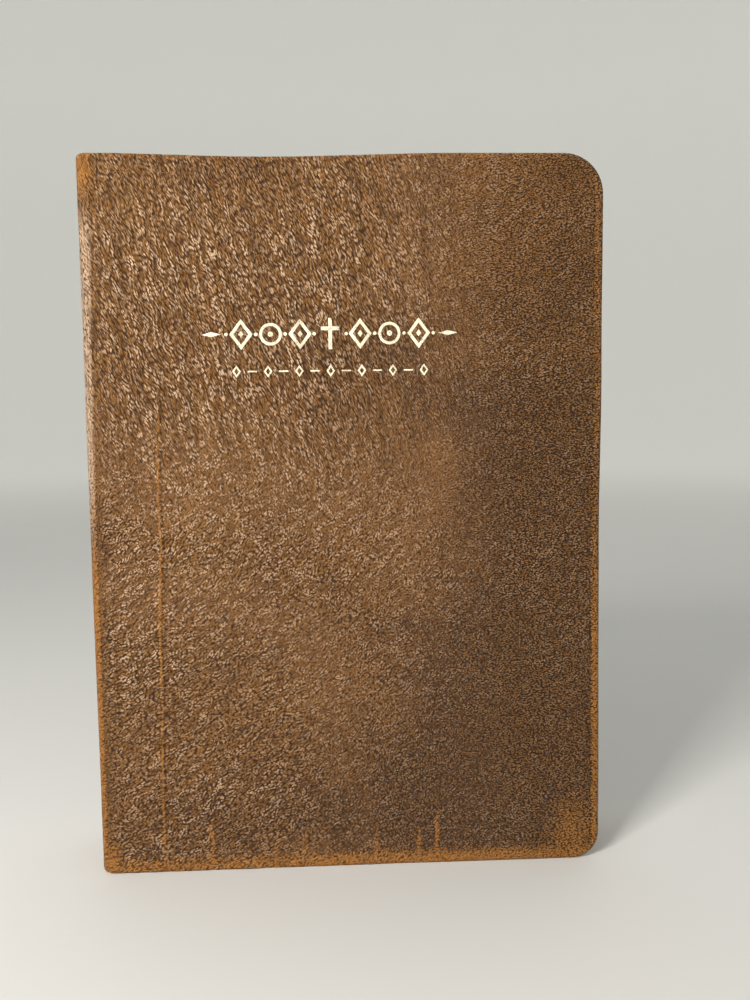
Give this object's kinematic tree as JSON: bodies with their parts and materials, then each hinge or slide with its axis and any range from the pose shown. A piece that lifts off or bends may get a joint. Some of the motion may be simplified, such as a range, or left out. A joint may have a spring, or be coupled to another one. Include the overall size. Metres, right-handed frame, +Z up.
{
  "type": "leather-bound bible",
  "caption": "Thick limp-leather bible standing closed, rounded corners and back, opening covers, sewn sections and spreading leaves.",
  "frame": {"origin": "middle of the footprint at the level of the covers' tail edges", "axes": "+Z up along the spine to the head, -Y out of the front cover, +X from the spine to the fore edge"},
  "size_m": [0.165, 0.036, 0.229],
  "materials": {
    "leather": "worn pebble grain, half gloss",
    "cover_board": "thin limp board",
    "endpaper": "plain laid paper, aged",
    "pages": "thin printing paper, gilt edges",
    "spine_paper": "brown lining paper",
    "lining_cloth": "open cotton weave",
    "sewing_thread": "waxed linen",
    "band_silk": "two-colour worked silk",
    "gold_foil": "worn hot-stamped foil"
  },
  "bodies": {
    "rear_half": {"spine_leather_rear": "leather", "spine_liner_rear": "spine_paper", "spine_mull_rear": "lining_cloth", "kettle_thread_tail_rear": "sewing_thread", "kettle_thread_head_rear": "sewing_thread", "sewing_tape_1_rear": "lining_cloth", "sewing_tape_2_rear": "lining_cloth", "sewing_tape_3_rear": "lining_cloth", "sewing_tape_4_rear": "lining_cloth", "head_band_rear": "band_silk", "tail_band_rear": "band_silk", "section_11": "pages", "section_12": "pages", "section_13": "pages", "section_14": "pages", "section_15": "pages", "section_16": "pages", "section_17": "pages", "section_18": "pages", "section_19": "pages", "section_20": "pages"},
    "front_half": {"spine_leather_front": "leather", "spine_liner_front": "spine_paper", "spine_mull_front": "lining_cloth", "kettle_thread_tail_front": "sewing_thread", "kettle_thread_head_front": "sewing_thread", "sewing_tape_1_front": "lining_cloth", "sewing_tape_2_front": "lining_cloth", "sewing_tape_3_front": "lining_cloth", "sewing_tape_4_front": "lining_cloth", "head_band_front": "band_silk", "tail_band_front": "band_silk", "section_01": "pages", "section_02": "pages", "section_03": "pages", "section_04": "pages", "section_05": "pages", "section_06": "pages", "section_07": "pages", "section_08": "pages", "section_09": "pages", "section_10": "pages"},
    "front_cover": {"front_cover_leather": "leather", "front_cover_board": "cover_board", "front_cover_pastedown": "endpaper"},
    "back_cover": {"back_cover_leather": "leather", "back_cover_board": "cover_board", "back_cover_pastedown": "endpaper"},
    "front_flyleaf": {"front_free_endpaper": "endpaper"},
    "back_flyleaf": {"back_free_endpaper": "endpaper"},
    "left_leaves_outer": {"left_leaves_outer": "pages"},
    "left_leaves_inner": {"left_leaves_inner": "pages"},
    "turning_leaf": {"turning_leaf": "pages"},
    "right_leaves_inner": {"right_leaves_inner": "pages"},
    "right_leaves_outer": {"right_leaves_outer": "pages"}
  },
  "joints": [
    {"name": "book_open", "type": "hinge", "parent": "rear_half", "child": "front_half", "pos_m": [-0.0828, 0, 0], "axis": [0, 0, -1], "range_deg": [0, 179]},
    {"name": "front_cover_hinge", "type": "hinge", "parent": "front_half", "child": "front_cover", "pos_m": [-0.075, -0.0182, 0], "axis": [0, 0, -1], "range_deg": [0, 179]},
    {"name": "back_cover_hinge", "type": "hinge", "parent": "rear_half", "child": "back_cover", "pos_m": [-0.075, 0.0198, 0], "axis": [0, 0, 1], "range_deg": [0, 179]},
    {"name": "left_leaves_outer_spread", "type": "hinge", "parent": "rear_half", "child": "left_leaves_outer", "pos_m": [-0.0828, 0, 0], "axis": [0, 0, -1], "range_deg": [0, 176.85]},
    {"name": "left_leaves_inner_spread", "type": "hinge", "parent": "right_leaves_inner", "child": "left_leaves_inner", "pos_m": [-0.0828, 0, 0], "axis": [0, 0, -1], "range_deg": [0, 169.69]},
    {"name": "turning_leaf_spread", "type": "hinge", "parent": "right_leaves_inner", "child": "turning_leaf", "pos_m": [-0.0828, 0, 0], "axis": [0, 0, -1], "range_deg": [0, 85.2]},
    {"name": "right_leaves_inner_spread", "type": "hinge", "parent": "rear_half", "child": "right_leaves_inner", "pos_m": [-0.0828, 0, 0], "axis": [0, 0, -1], "range_deg": [0, 4.3]},
    {"name": "right_leaves_outer_spread", "type": "hinge", "parent": "rear_half", "child": "right_leaves_outer", "pos_m": [-0.0828, 0, 0], "axis": [0, 0, -1], "range_deg": [0, 1.79]},
    {"name": "front_flyleaf_turn", "type": "hinge", "parent": "front_half", "child": "front_flyleaf", "pos_m": [-0.0735, -0.01537, 0], "axis": [0, 0, -1], "range_deg": [0, 2.15]},
    {"name": "back_flyleaf_turn", "type": "hinge", "parent": "rear_half", "child": "back_flyleaf", "pos_m": [-0.0735, 0.01537, 0], "axis": [0, 0, 1], "range_deg": [0, 2.15]}
  ],
  "couplings": [
    {"joint": "left_leaves_outer_spread", "follows": "book_open", "ratio": 0.988},
    {"joint": "left_leaves_inner_spread", "follows": "book_open", "ratio": 0.948},
    {"joint": "turning_leaf_spread", "follows": "book_open", "ratio": 0.476},
    {"joint": "right_leaves_inner_spread", "follows": "book_open", "ratio": 0.024},
    {"joint": "right_leaves_outer_spread", "follows": "book_open", "ratio": 0.01},
    {"joint": "front_flyleaf_turn", "follows": "front_cover_hinge", "ratio": 0.012},
    {"joint": "back_flyleaf_turn", "follows": "back_cover_hinge", "ratio": 0.012}
  ]
}
